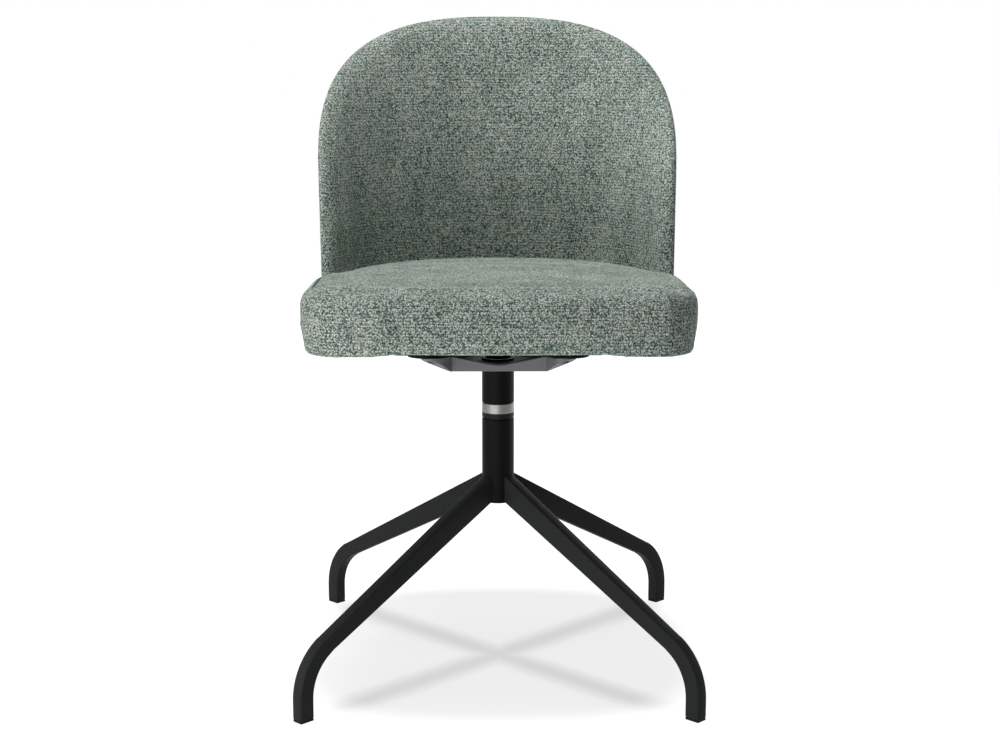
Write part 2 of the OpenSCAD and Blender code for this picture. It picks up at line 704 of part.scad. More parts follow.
// Bolt places, with +Z pointing into the seat square to the leaning plate
module each_back_bolt() {
    each_angle() for (share = angle_hole_share)
        translate([0, lean * angle_h * share, angle_h * share])
            rotate([90 - lean_angle, 0, 0]) children();
}
function deep(d) = d * cos(lean_angle);
module each_board_screw() {
    each_angle() for (share = foot_hole_share)
        translate([0, -angle_d - angle_foot * share, 0]) children();
}
module back_brackets() {
    skew_t = angle_t / cos(lean_angle);
    far = -angle_d - angle_foot;
    color("#2c2d2f") difference() {
        each_angle() rotate([90, 0, 90]) linear_extrude(height = angle_w, center = true)
            polygon([[-angle_d, 0], [lean * angle_h - angle_d, angle_h],
                [lean * angle_h - angle_d - skew_t, angle_h],
                [lean * angle_t - angle_d - skew_t, angle_t], [far, angle_t], [far, 0]]);
        each_back_bolt() translate([0, 0, deep(angle_d) - over])
            cylinder(r = screw_r + screw_clear, h = angle_t + 2 * over);
        each_board_screw() translate([0, 0, -over])
            cylinder(r = wood_screw_r + screw_clear, h = angle_t + 2 * over);
    }
}
module board_screws() {
    color("#3a3a3c") each_board_screw() {
        translate([0, 0, -wood_head_h])
            cylinder(r1 = wood_head_r - edge_chamfer, r2 = wood_head_r, h = wood_head_h);
        cylinder(r = wood_screw_r, h = angle_t + wood_screw_h);
    }
}
module board_screw_holes() {
    each_board_screw()
        cylinder(r = wood_screw_r + fit_clear, h = angle_t + wood_screw_h + screw_end_gap);
}
module dust_cover() {
    color("#121212") difference() {
        seat_slab(board_inset, dust_z, dust_t);
        each_ear() translate([0, 0, dust_z - over])
            cylinder(r = screw_r + screw_clear, h = dust_t + 2 * over);
        board_screw_holes();
    }
}
module seat_board() {
    color("#c9a877") difference() {
        seat_slab(board_inset, board_z, board_t);
        each_ear() {
            translate([0, 0, board_z - over])
                cylinder(r = tee_barrel_r + fit_clear, h = board_t + 2 * over);
            translate([0, 0, board_top_z - tee_flange_h])
                cylinder(r = tee_flange_r + screw_clear, h = tee_flange_h + over);
        }
        board_screw_holes();
    }
}
module tee_nuts() {
    color("#9a9da1") each_ear() difference() {
        union() {
            translate([0, 0, board_top_z - tee_flange_h]) cylinder(r = tee_flange_r, h = tee_flange_h);
            translate([0, 0, board_top_z - tee_flange_h - tee_barrel_h])
                cylinder(r = tee_barrel_r, h = tee_barrel_h);
        }
        translate([0, 0, board_top_z - tee_flange_h - tee_barrel_h - over])
            cylinder(r = screw_r + fit_clear, h = tee_barrel_h + tee_flange_h + 2 * over);
    }
}
module seat_cushion() {
    color("#8fa198") seat_form();
}

module back_bolts() {
    start = deep(facet_d(shell_d)) + soft_clear;
    head = deep(angle_d) + angle_t;
    color("#3a3a3c") each_back_bolt() {
        translate([0, 0, start]) cylinder(r = screw_r, h = head - start);
        translate([0, 0, head]) difference() {
            cylinder(r1 = button_head_r, r2 = button_head_r - edge_chamfer, h = button_head_h);
            translate([0, 0, button_head_h / 2])
                cylinder(r = screw_socket_r, h = button_head_h, $fn = 6);
        }
    }
}
module shell_inserts() {
    start = deep(facet_d(shell_d)) + soft_clear / 2;
    color("#9a9da1") each_back_bolt() translate([0, 0, start]) difference() {
        cylinder(r = insert_r, h = shell_t - soft_clear);
        translate([0, 0, -over]) cylinder(r = screw_r + fit_clear, h = shell_t + 2 * over);
    }
}
module back_shell() {
    edge = shell_inset + soft_clear;
    color("#c9a877") difference() {
        sheet_solid(shell_rows, sheet(shell_rows, edge, shell_d, 0), [],
            sheet(shell_rows, edge, shell_in_d, 0));
        each_back_bolt() translate([0, 0, -over]) cylinder(r = insert_r + fit_clear,
            h = shell_in_d + 2 * over);
    }
}
panel_edge_share = 0.33;
module back_outer_panel() {
    edge = seam_inset + soft_clear;
    n = shell_rows;
    color("#8fa198") sheet_solid(n, sheet(n, shell_inset, 0, 0),
        [rim(n, edge, panel_t * panel_edge_share, 0)], sheet(n, edge, panel_d, 0));
}
// Edge of the padding: inset as a share of the seam's inset, depth as a share of the padding
edge_shares = [[0.45, 0.03], [0.12, 0.2], [0, 0.5], [0.12, 0.8], [0.45, 0.95]];
module back_cushion() {
    rear_d = shell_in_d + layer_gap;
    ledge_d = panel_d + layer_gap / 2;
    color("#8fa198") difference() {
        sheet_solid(rows, sheet(rows, shell_inset, rear_d, 0),
            concat(
                [rim(rows, shell_inset, ledge_d, 0), rim(rows, seam_inset, ledge_d, 0),
                    rim(rows, seam_inset, 0, 0)],
                [for (p = edge_shares) rim(rows, p.x * seam_inset, 0, p.y)]),
            sheet(rows, seam_inset, 0, 1));
        each_angle() upright_slab(angle_w + 2 * soft_clear, shell_d, shell_in_d + angle_slot,
            -angle_t, angle_h + soft_clear);
    }
}

base_tube();
leg_front_left();
leg_front_right();
leg_rear_left();
leg_rear_right();
glide_front_left();
glide_front_right();
glide_rear_left();
glide_rear_right();
hub_cap();
lower_bush();
upper_bush();
spindle();
retaining_washer();
circlip();
swivel_ring();
top_washer();
upper_tube();
seat_bracket();
mounting_plate();
spacer_board();
bracket_screws();
dust_cover();
seat_board();
tee_nuts();
seat_cushion();
back_brackets();
board_screws();
back_bolts();
shell_inserts();
back_shell();
back_outer_panel();
back_cushion();
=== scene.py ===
import json
import math

import bmesh
import bpy
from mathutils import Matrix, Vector


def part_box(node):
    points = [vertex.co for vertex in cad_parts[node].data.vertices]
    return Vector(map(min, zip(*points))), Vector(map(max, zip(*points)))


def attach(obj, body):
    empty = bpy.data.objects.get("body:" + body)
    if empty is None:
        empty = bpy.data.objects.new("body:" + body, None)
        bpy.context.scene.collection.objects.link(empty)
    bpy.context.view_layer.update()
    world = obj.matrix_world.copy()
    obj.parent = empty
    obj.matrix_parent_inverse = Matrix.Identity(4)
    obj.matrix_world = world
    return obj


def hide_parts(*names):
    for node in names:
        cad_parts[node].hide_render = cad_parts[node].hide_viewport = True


# Swivel dining chair: upholstered tub back and seat on a turning column with four bent legs.
# Metres, +Z up, front towards -Y, the origin on the swivel axis at floor level.

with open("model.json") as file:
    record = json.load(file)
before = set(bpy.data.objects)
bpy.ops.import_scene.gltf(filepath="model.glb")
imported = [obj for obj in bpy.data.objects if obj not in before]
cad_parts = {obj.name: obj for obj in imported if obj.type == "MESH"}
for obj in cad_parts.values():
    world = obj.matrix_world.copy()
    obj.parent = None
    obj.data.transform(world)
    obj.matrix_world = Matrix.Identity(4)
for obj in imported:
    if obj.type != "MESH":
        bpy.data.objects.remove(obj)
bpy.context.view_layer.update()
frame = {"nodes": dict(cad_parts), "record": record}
NODES = frame["nodes"]
MM = 0.001
WHITE = (1, 1, 1, 1)
BLACK = (0, 0, 0, 1)


# ---------------------------------------------------------------- camera and light

CAMERA_PLACE = (-0.0174, -2.0731, 0.7308)
CAMERA_DOWN = 10.052
CAMERA_SIDE = -0.549
CAMERA_LENS = 60.94
CAMERA_FRAME = 36
CAMERA_NEAR = 0.05
ROOM_LIGHT = 0.03
LAMPS = (  # name, place, target, width and height, watts
    ("overhead", (-0.2, 0.2, 2.5), (0, 0.15, 0.45), (1.8, 0.6), 43),
    ("low_front", (-0.7, -1.3, 0.13), (0, 0, 0.42), (1.8, 0.3), 9.6),
    ("far_front", (-1.0, -2.5, 0.32), (0, 0, 0.5), (2.2, 0.5), 6),
    ("left_wall", (-2.6, -0.9, 0.9), (0, 0, 0.5), (1.6, 1.4), 19),
    ("rear_fill", (0.6, 2.8, 0.9), (0, 0.2, 0.6), (2.4, 1.4), 34),
    ("right_rear", (2.4, 1.5, 0.5), (0, 0, 0.5), (1.2, 0.8), 14),
)


def make_camera():
    lens = bpy.data.cameras.new("photo_camera")
    lens.lens = CAMERA_LENS
    lens.sensor_width = CAMERA_FRAME
    lens.clip_start = CAMERA_NEAR
    holder = bpy.data.objects.new("photo_camera", lens)
    holder.location = CAMERA_PLACE
    holder.rotation_euler = (math.radians(90 - CAMERA_DOWN), 0, math.radians(CAMERA_SIDE))
    bpy.context.scene.collection.objects.link(holder)
    bpy.context.scene.camera = holder


def area_light(name, place, target, size, power):
    lamp = bpy.data.lights.new(name, "AREA")
    lamp.shape = "RECTANGLE"
    lamp.size, lamp.size_y = size
    lamp.energy = power
    holder = bpy.data.objects.new(name, lamp)
    holder.location = place
    aim = Vector(target) - Vector(place)
    holder.rotation_euler = aim.to_track_quat("-Z", "Y").to_euler()
    holder.visible_camera = False
    bpy.context.scene.collection.objects.link(holder)


def make_world():
    """Even room light; the camera and reflections see plain white."""
    world = bpy.data.worlds.new("room")
    bpy.context.scene.world = world
    world.use_nodes = True
    tree = world.node_tree
    tree.nodes.clear()
    rays = tree.nodes.new("ShaderNodeLightPath")
    seen = rays.outputs["Is Camera Ray"]
    for kind in ("Is Transmission Ray", "Is Glossy Ray"):
        either = tree.nodes.new("ShaderNodeMath")
        either.operation = "MAXIMUM"
        tree.links.new(seen, either.inputs[0])
        tree.links.new(rays.outputs[kind], either.inputs[1])
        seen = either.outputs[0]
    both = tree.nodes.new("ShaderNodeMixShader")
    tree.links.new(seen, both.inputs[0])
    for socket, strength in ((1, ROOM_LIGHT), (2, 1.0)):
        glow = tree.nodes.new("ShaderNodeBackground")
        glow.inputs["Color"].default_value = WHITE
        glow.inputs["Strength"].default_value = strength
        tree.links.new(glow.outputs[0], both.inputs[socket])
    output = tree.nodes.new("ShaderNodeOutputWorld")
    tree.links.new(both.outputs[0], output.inputs["Surface"])
    bpy.context.scene.view_settings.view_transform = "Standard"


# ---------------------------------------------------------------- shader maths

def srgb(text):
    """A linear colour from a hex string."""
    parts = [int(text[i:i + 2], 16) / 255 for i in (1, 3, 5)]
    return tuple(p / 12.92 if p <= 0.04045 else ((p + 0.055) / 1.055) ** 2.4 for p in parts) + (1,)


class Wire:
    """A number's socket in a material, with arithmetic on it."""

    def __init__(self, shop, socket):
        self.shop = shop
        self.socket = socket

    def _with(self, operation, *others):
        return self.shop.math(operation, self, *others)

    def __add__(self, other):
        return self._with("ADD", other)

    def __radd__(self, other):
        return self._with("ADD", other)

    def __sub__(self, other):
        return self._with("SUBTRACT", other)

    def __rsub__(self, other):
        return self.shop.math("SUBTRACT", other, self)

    def __mul__(self, other):
        return self._with("MULTIPLY", other)

    def __rmul__(self, other):
        return self._with("MULTIPLY", other)

    def __truediv__(self, other):
        return self._with("DIVIDE", other)

    def __pow__(self, other):
        return self._with("POWER", other)

    def __abs__(self):
        return self._with("ABSOLUTE")

    def low(self, other):
        return self._with("MINIMUM", other)

    def high(self, other):
        return self._with("MAXIMUM", other)

    def smooth(self, start, end):
        """0 before start, 1 after end, soft between."""
        out = self.shop.node("ShaderNodeMapRange", {"interpolation_type": "SMOOTHSTEP"},
                             {"Value": self, "From Min": start, "From Max": end})
        return Wire(self.shop, out.outputs["Result"])


EDGE_SAMPLES = 8


class Finish:
    """One material under construction."""

    def __init__(self, name):
        self.material = bpy.data.materials.new(name)
        self.material.use_nodes = True
        self.tree = self.material.node_tree
        self.tree.nodes.clear()
        self.place = Wire(self, self.node("ShaderNodeTexCoord").outputs["Object"])

    def node(self, kind, settings=None, inputs=None):
        made = self.tree.nodes.new(kind)
        for key, value in (settings or {}).items():
            if key == "stops":
                ramp = made.color_ramp
                while len(ramp.elements) < len(value):
                    ramp.elements.new(0.5)
                for stop, (position, colour) in zip(ramp.elements, value):
                    stop.position = position
                    stop.color = colour
            else:
                setattr(made, key, value)
        for key, value in (inputs or {}).items():
            socket = made.inputs[key]
            if isinstance(value, Wire):
                self.tree.links.new(value.socket, socket)
            else:
                socket.default_value = value
        return made

    def math(self, operation, *values):
        made = self.node("ShaderNodeMath", {"operation": operation}, dict(enumerate(values)))
        return Wire(self, made.outputs[0])

    def stretch(self, scale):
        """The object's coordinates, scaled per axis."""
        made = self.node("ShaderNodeMapping", None, {"Vector": self.place, "Scale": scale})
        return Wire(self, made.outputs["Vector"])

    def axis(self, which, vector=None):
        made = self.node("ShaderNodeSeparateXYZ", None, {0: vector or self.place})
        return Wire(self, made.outputs[which])

    def bend(self, vector, offset, amount):
        """A vector pushed about by another one."""
        scaled = self.node("ShaderNodeVectorMath", {"operation": "SCALE"},
                           {0: offset, "Scale": amount})
        added = self.node("ShaderNodeVectorMath", {"operation": "ADD"},
                          {0: vector, 1: Wire(self, scaled.outputs[0])})
        return Wire(self, added.outputs[0])

    def noise(self, vector, scale, detail=2.0, rough=0.5, colour=False):
        made = self.node("ShaderNodeTexNoise", None,
                         {"Vector": vector, "Scale": scale, "Detail": detail, "Roughness": rough})
        return Wire(self, made.outputs["Color" if colour else 0])

    def cells(self, vector, scale, randomness=1.0, colour=False):
        made = self.node("ShaderNodeTexVoronoi", {"feature": "F1"},
                         {"Vector": vector, "Scale": scale, "Randomness": randomness})
        return Wire(self, made.outputs["Color" if colour else "Distance"])

    def ramp(self, value, stops):
        made = self.node("ShaderNodeValToRGB", {"stops": stops}, {"Fac": value})
        return Wire(self, made.outputs["Color"])

    def mix(self, factor, first, second):
        made = self.node("ShaderNodeMix", {"data_type": "RGBA"},
                         {0: factor, 6: first, 7: second})
        return Wire(self, made.outputs[2])

    def attribute(self, name):
        made = self.node("ShaderNodeAttribute", {"attribute_name": name})
        return Wire(self, made.outputs["Fac"])

    def bump(self, height, strength, distance, normal=None):
        inputs = {"Height": height, "Strength": strength, "Distance": distance}
        if normal:
            inputs["Normal"] = normal
        return Wire(self, self.node("ShaderNodeBump", None, inputs).outputs["Normal"])

    def round_edges(self, radius):
        made = self.node("ShaderNodeBevel", {"samples": EDGE_SAMPLES}, {"Radius": radius})
        return Wire(self, made.outputs["Normal"])

    def surface(self, **inputs):
        names = {key.replace("_", " "): value for key, value in inputs.items()}
        shader = self.node("ShaderNodeBsdfPrincipled", None, names)
        output = self.node("ShaderNodeOutputMaterial")
        self.tree.links.new(shader.outputs[0], output.inputs["Surface"])
        return self.material


# ---------------------------------------------------------------- finishes

def powder_coat(name, colour, worn, grain=2200, relief=0.00006, roughness=0.42, gloss=0.3):
    """Baked powder on steel: fine orange peel, a cloudy tone and paler scuffs here and there,
    edges rounded in the shading.
    """
    f = Finish(name)
    peel = f.noise(f.place, grain, 3, 0.55)
    cloud = f.noise(f.place, 18, 3, 0.6)
    scuff = f.noise(f.stretch((1, 1, 0.25)), 160, 4, 0.7).smooth(0.62, 0.8)
    tone = f.mix(cloud * 0.35 + peel * 0.2, srgb(colour), srgb(worn))
    tone = f.mix(scuff * 0.25, tone, srgb(worn))
    return f.surface(Base_Color=tone, Roughness=roughness + 0.1 * cloud - 0.08 * scuff,
                     Specular_IOR_Level=gloss,
                     Normal=f.bump(peel, 0.35, relief, f.round_edges(0.0012)))


def turned_metal(name, dark, light, metallic=1.0, roughness=0.28, rings=900):
    """Metal turned on a lathe: fine rings round the axis and a little tarnish."""
    f = Finish(name)
    lines = f.noise(f.stretch((6, 6, rings)), 1, 3, 0.6)
    cloud = f.noise(f.place, 55, 3, 0.6)
    tone = f.mix((lines * 0.6 + cloud * 0.4).smooth(0.3, 0.7), srgb(dark), srgb(light))
    return f.surface(Base_Color=tone, Metallic=metallic,
                     Roughness=roughness + 0.14 * lines + 0.08 * cloud,
                     Normal=f.bump(lines, 0.2, 0.00004, f.round_edges(0.0005)))


def cast_metal(name, colour, light):
    """Painted casting: soft pebbled skin and a cloudy tone a little paler in places, edges rounded
    in the shading.
    """
    f = Finish(name)
    skin = f.noise(f.place, 900, 4, 0.6)
    cloud = f.noise(f.place, 25, 3, 0.6)
    tone = f.mix(cloud * 0.5 + skin * 0.25, srgb(colour), srgb(light))
    return f.surface(Base_Color=tone, Roughness=0.5 + 0.16 * cloud, Metallic=0.15,
                     Normal=f.bump(skin, 0.4, 0.00012, f.round_edges(0.0016)))


def moulded_plastic(name, colour, light, roughness=0.42, gloss=0.4):
    """Moulded plastic with a fine spark-eroded grain."""
    f = Finish(name)
    grain = f.cells(f.place, 2600)
    cloud = f.noise(f.place, 60, 2, 0.5)
    tone = f.mix(cloud * 0.6, srgb(colour), srgb(light))
    return f.surface(Base_Color=tone, Roughness=roughness + 0.1 * cloud,
                     Specular_IOR_Level=gloss,
                     Normal=f.bump(grain, 0.3, 0.00004, f.round_edges(0.0004)))


PLY_LAYERS = 710


def layered_wood(name, pale, dark):
    """Plywood: long grain on the faces, alternating layers on the edges."""
    f = Finish(name)
    grain = f.noise(f.stretch((4, 60, 60)), 3, 5, 0.65)
    fine = f.noise(f.stretch((30, 900, 900)), 1, 3, 0.6)
    layer = f.math("PINGPONG", f.axis(2) * PLY_LAYERS, 1).smooth(0.42, 0.58)
    tone = f.mix((grain * 0.7 + fine * 0.3).smooth(0.3, 0.75), srgb(pale), srgb(dark))
    tone = f.mix(layer * 0.22, tone, srgb("#7a5a35"))
    return f.surface(Base_Color=tone, Roughness=0.62 + 0.18 * fine,
                     Normal=f.bump(fine * 0.6 + grain * 0.4, 0.3, 0.0002, f.round_edges(0.0005)))


def stained_board(name, colour, light):
    """Black-stained board: fibres along the cut, matt."""
    f = Finish(name)
    fibre = f.noise(f.stretch((25, 300, 300)), 2, 4, 0.7)
    cloud = f.noise(f.place, 30, 3, 0.6)
    tone = f.mix(fibre * 0.5 + cloud * 0.2, srgb(colour), srgb(light))
    return f.surface(Base_Color=tone, Roughness=0.7 + 0.15 * fibre, Specular_IOR_Level=0.3,
                     Normal=f.bump(fibre, 0.35, 0.0002, f.round_edges(0.0008)))


LINING_POINTS = 400


def lining_cloth(name):
    """Black non-woven lining: flat fibres pressed with small points."""
    f = Finish(name)
    fibre = f.noise(f.place, 900, 4, 0.75)
    points = (f.math("PINGPONG", f.axis(0) * LINING_POINTS, 1)
              * f.math("PINGPONG", f.axis(1) * LINING_POINTS, 1))
    tone = f.mix(fibre, srgb("#0c0c0d"), srgb("#26272a"))
    return f.surface(Base_Color=tone, Roughness=0.86 + 0.1 * fibre, Specular_IOR_Level=0.2,
                     Normal=f.bump(fibre + points * 0.8, 0.5, 0.0003))


YARN_STOPS = [
    (0.00, srgb("#2a3c39")),
    (0.14, srgb("#455a55")),
    (0.30, srgb("#6e7d75")),
    (0.50, srgb("#98a399")),
    (0.72, srgb("#bbc1b8")),
    (0.90, srgb("#d4d7cf")),
    (1.00, srgb("#e4e5de")),
]
LOOPS = 525
LOOP_SPREAD = 0.85
ROW = 3.6
PUSH = 260
PUSH_WAY = 0.0008
FIBRES = 1700
SLACK = 1.6
# Width of the painted shade along the seam, in millimetres from it.
SEAM_SHADE_LINE = (0.5, 1.5)


def looped_tweed(name):
    """Bouclé tweed: small loops of pale, grey-green and dark teal yarn set in rows."""
    f = Finish(name)
    push = f.noise(f.place, PUSH, 1, 0.5, colour=True)
    wander = f.bend(f.place, push, PUSH_WAY)
    loops = f.cells(wander, LOOPS, LOOP_SPREAD)
    yarn = f.cells(wander, LOOPS, LOOP_SPREAD, colour=True)
    shade = f.axis(0, yarn)
    streak = f.noise(f.stretch((30, 30, 9)), 1, 3, 0.6)
    fibre = f.noise(f.place, FIBRES, 1, 0.7)
    slack = f.axis(0, push) * SLACK
    row = f.math("PINGPONG", (f.attribute("weave_row") + slack) / (ROW / 2), 1).smooth(0.35, 0.95)
    gap = loops.smooth(0.38, 0.66)
    pick = (shade * 0.34 + (streak - 0.5) * 0.45 + (fibre - 0.5) * 0.95 + 0.63
            - gap * 0.6 - row * 0.2)
    tone = f.ramp(pick, YARN_STOPS)
    tone = f.mix(f.axis(1, yarn).smooth(0.8, 0.88) * 0.45, tone, srgb("#7d8460"))
    tone = f.mix(f.axis(2, yarn).smooth(0.82, 0.9) * 0.6, tone, srgb("#2a5a5e"))
    # Painted shade: the colour turns near-black along the side seam; the groove there is real,
    # drawn in by sew_in and sunk in the bump.
    seam = 1 - abs(f.attribute("seam_way")).smooth(*SEAM_SHADE_LINE)
    tone = f.mix(seam * 0.9, tone, srgb("#101817"))
    height = (1 - gap) * 0.8 + (1 - row) * 0.35 + fibre * 0.3 - seam * 1.5
    return f.surface(Base_Color=tone, Roughness=0.88 + 0.1 * fibre, Specular_IOR_Level=0.12,
                     Sheen_Weight=0.14, Sheen_Roughness=0.6, Sheen_Tint=srgb("#b9c6bd"),
                     Normal=f.bump(height, 0.45, 0.0007))


FLOOR_SIZE = 60
# Painted shadow on the floor: its glow level inside the rounded area, darker towards the rear and
# along each leg, and that area's size and fade.
PATCH_GLOW = 0.798
PAINTED_REAR_SHADE = 0.25
# For the camera the floor's own colour is darkened by this share, so its real shadow shows only
# faintly under the painted one.
SEEN_DARK = 0.7
PAINTED_LEG_SHADE = 0.185
LEG_SHADE_WIDTH = 0.055
PATCH_HALF_X = 0.245
PATCH_HALF_Y = 0.2525
PATCH_SHIFT_Y = 0.03
PATCH_POWER = 3
PATCH_FADE = (0.88, 1.14)


def make_floor():
    """Pale floor, white to the eye by its glow, with painted shadow: a rounded area of shade
    between the feet, painted deeper along each leg's line and a little darker towards the rear."""
    bpy.ops.object.select_all(action="DESELECT")
    bpy.ops.mesh.primitive_plane_add(size=FLOOR_SIZE, location=(0, 0, 0))
    floor = bpy.context.object
    floor.name = "floor"
    f = Finish("white_floor_painted_shadow")
    tone = f.mix(f.noise(f.place, 6, 2, 0.5), srgb("#e4e4e4"), srgb("#eaeaea"))
    x, y = f.axis(0), f.axis(1)
    # Painted shadow: a darker band along each diagonal, under the line of a leg.
    painted_leg_shadow = 1 - abs(x - y).low(abs(x + y)).smooth(0, LEG_SHADE_WIDTH)
    reach = (abs(x / PATCH_HALF_X) ** PATCH_POWER
             + abs((y - PATCH_SHIFT_Y) / PATCH_HALF_Y) ** PATCH_POWER) ** (1 / PATCH_POWER)
    away = reach.smooth(*PATCH_FADE)
    # Painted shadow: the glow in the rounded area, lowered along each leg and towards the rear.
    painted_shadow_glow = PATCH_GLOW - PAINTED_LEG_SHADE * painted_leg_shadow - PAINTED_REAR_SHADE * y.high(0)
    rays = f.node("ShaderNodeLightPath")
    seen = Wire(f, rays.outputs["Is Camera Ray"]).high(Wire(f, rays.outputs["Is Glossy Ray"]))
    glow = f.mix(seen * (painted_shadow_glow + (1 - painted_shadow_glow) * away), BLACK, WHITE)
    tone = f.mix(seen * SEEN_DARK, tone, BLACK)
    floor.data.materials.append(f.surface(Base_Color=tone, Roughness=0.9, Specular_IOR_Level=0.0,
                                          Emission_Color=glow, Emission_Strength=1.0))


FINISHES = {
    "black_steel": powder_coat("black_steel", "#292a2b", "#363738", gloss=0.03),
    "black_tube": powder_coat("black_tube", "#0b0b0c", "#131314", gloss=0.05),
    "black_plastic": moulded_plastic("black_plastic", "#090909", "#121213", gloss=0.12),
    "pale_plastic": moulded_plastic("pale_plastic", "#dedccf", "#eceade", 0.5),
    "turned_steel": turned_metal("turned_steel", "#8d9094", "#b4b7ba"),
    "ring_steel": turned_metal("ring_steel", "#62615f", "#858381"),
    "dark_fastener": turned_metal("dark_fastener", "#2e2f31", "#4a4b4e", 0.8, 0.4),
    "zinc_fastener": turned_metal("zinc_fastener", "#9ea3a6", "#c7cbcd", 1.0, 0.35),
    "grey_casting": cast_metal("grey_casting", "#636466", "#6f7072"),
    "black_plate": powder_coat("black_plate", "#080809", "#121213", 1800, gloss=0.06),
    "black_board": stained_board("black_board", "#100f0e", "#24211e"),
    "plywood": layered_wood("plywood", "#d9bd92", "#b58f5e"),
    "black_cloth": lining_cloth("black_cloth"),
    "grey_tweed": looped_tweed("grey_tweed"),
}


def dress_nodes():
    slots = {part["node"]: part["material_slot"] for part in frame["record"]["subparts"]}
    for name, item in NODES.items():
        finish = FINISHES[slots[name]]
        if not item.material_slots:
            item.data.materials.append(finish)
        for spot in item.material_slots:
            spot.material = finish


def finished(piece, finish, body):
    piece.data.materials.clear()
    piece.data.materials.append(FINISHES[finish])
    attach(piece, body)
    return piece


# ---------------------------------------------------------------- modelling helpers

def only(piece):
    """Selects one object and nothing else."""
    if bpy.context.object and bpy.context.object.mode != "OBJECT":
        bpy.ops.object.mode_set(mode="OBJECT")
    bpy.ops.object.select_all(action="DESELECT")
    piece.select_set(True)
    bpy.context.view_layer.objects.active = piece
    return piece


def modify(piece, kind, **settings):
    """Adds a modifier, sets it and applies it."""
    only(piece)
    made = piece.modifiers.new(kind.lower(), kind)
    for key, value in settings.items():
        setattr(made, key, value)
    bpy.ops.object.modifier_apply(modifier=made.name)


def pick_vertices(piece, test):
    """In edit mode: selects the vertices that pass the test, by their place."""
    bpy.ops.mesh.select_mode(type="VERT")
    bpy.ops.mesh.select_all(action="DESELECT")
    shape = bmesh.from_edit_mesh(piece.data)
    for vertex in shape.verts:
        vertex.select = bool(test(vertex.co))
    shape.select_flush(True)
    bmesh.update_edit_mesh(piece.data)


# ---------------------------------------------------------------- legs

LEG_REACH = 0.3285
LEG_WIDTH = 0.0155
FOOT_DEPTH = 0.0195
FOOT_Z = 0.0025
ANKLE_Z = 0.025
BEND_CENTRE = 0.25175
BEND_TURN = 62.6
TUBE_GRIP = 0.0176
LEG_TOP_TOUCH = (0.2887, 0.0918)
LEG_LOW_TOUCH = (0.2767, 0.0770)
LEG_TOP_Z = 0.2388
LEG_LOW_Z = 0.2052
LEG_EDGE = 0.0018
BEND_STEPS = 16
BAR_RUN = (-0.2, 0, 0.1)


def move_to(piece, test, place):
    """Moves the picked vertices so that their middle comes to (x, z)."""
    pick_vertices(piece, test)
    shape = bmesh.from_edit_mesh(piece.data)
    picked = [vertex.co.copy() for vertex in shape.verts if vertex.select]
    middle = sum(picked, Vector()) / len(picked)
    bpy.ops.transform.translate(value=(place[0] - middle.x, 0, place[1] - middle.z))


def make_leg(name, turn):
    """A bar drawn up from the foot, turned through the bend and run to the column."""
    foot = LEG_REACH - FOOT_DEPTH / 2
    bpy.ops.object.select_all(action="DESELECT")
    bpy.ops.mesh.primitive_plane_add(size=1, location=(0, 0, 0))
    leg = bpy.context.object
    leg.name = name
    bpy.ops.object.mode_set(mode="EDIT")
    bpy.ops.mesh.select_all(action="SELECT")
    bpy.ops.transform.resize(value=(FOOT_DEPTH, LEG_WIDTH, 1))
    bpy.ops.transform.translate(value=(foot, 0, FOOT_Z))
    bpy.ops.mesh.extrude_region_move(
        TRANSFORM_OT_translate={"value": (0, 0, ANKLE_Z - FOOT_Z)})
    bpy.ops.mesh.spin(steps=BEND_STEPS, angle=math.radians(BEND_TURN),
                      center=(BEND_CENTRE, 0, ANKLE_Z), axis=(0, 1, 0))
    shape = bmesh.from_edit_mesh(leg.data)
    ends = [vertex.co.copy() for vertex in shape.verts if vertex.select]
    high = max(place.z for place in ends)
    low = min(place.z for place in ends)
    near = [place for place in ends if place.z > high - MM]
    far = [place for place in ends if place.z < low + MM]

    def at(group):
        return lambda place: any((place - other).length < MM / 10 for other in group)

    move_to(leg, at(near), LEG_TOP_TOUCH)
    move_to(leg, at(far), LEG_LOW_TOUCH)
    pick_vertices(leg, lambda p: p.x < LEG_TOP_TOUCH[0] + MM and p.z > LEG_LOW_TOUCH[1] - MM / 2
                  and (abs(p.x - LEG_TOP_TOUCH[0]) < MM or abs(p.x - LEG_LOW_TOUCH[0]) < MM / 4)
                  and (p.z > LEG_TOP_TOUCH[1] - MM or p.z < LEG_LOW_TOUCH[1] + MM / 2))
    bpy.ops.mesh.extrude_region_move(TRANSFORM_OT_translate={"value": BAR_RUN})
    shape = bmesh.from_edit_mesh(leg.data)
    ends = [vertex.co.copy() for vertex in shape.verts if vertex.select]
    middle = sum(place.z for place in ends) / len(ends)
    upper = [place for place in ends if place.z > middle]
    lower = [place for place in ends if place.z < middle]
    move_to(leg, at(upper), (TUBE_GRIP, LEG_TOP_Z))
    move_to(leg, at(lower), (TUBE_GRIP, LEG_LOW_Z))
    bpy.ops.mesh.select_all(action="SELECT")
    bpy.ops.mesh.remove_doubles(threshold=MM / 100)
    bpy.ops.mesh.normals_make_consistent(inside=False)
    bpy.ops.object.mode_set(mode="OBJECT")
    modify(leg, "BEVEL", width=LEG_EDGE, segments=4, limit_method="ANGLE",
           angle_limit=math.radians(40))
    only(leg)
    bpy.ops.object.shade_smooth_by_angle(angle=math.radians(50))
    leg.rotation_euler = (0, 0, math.radians(turn))
    bpy.ops.object.transform_apply(location=True, rotation=True, scale=True)
    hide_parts(name.replace("_bar", ""))
    return finished(leg, "black_steel", "base")


# ---------------------------------------------------------------- upholstery

PAIR_FACES = math.radians(50)
PAIR_SHAPE = math.radians(70)


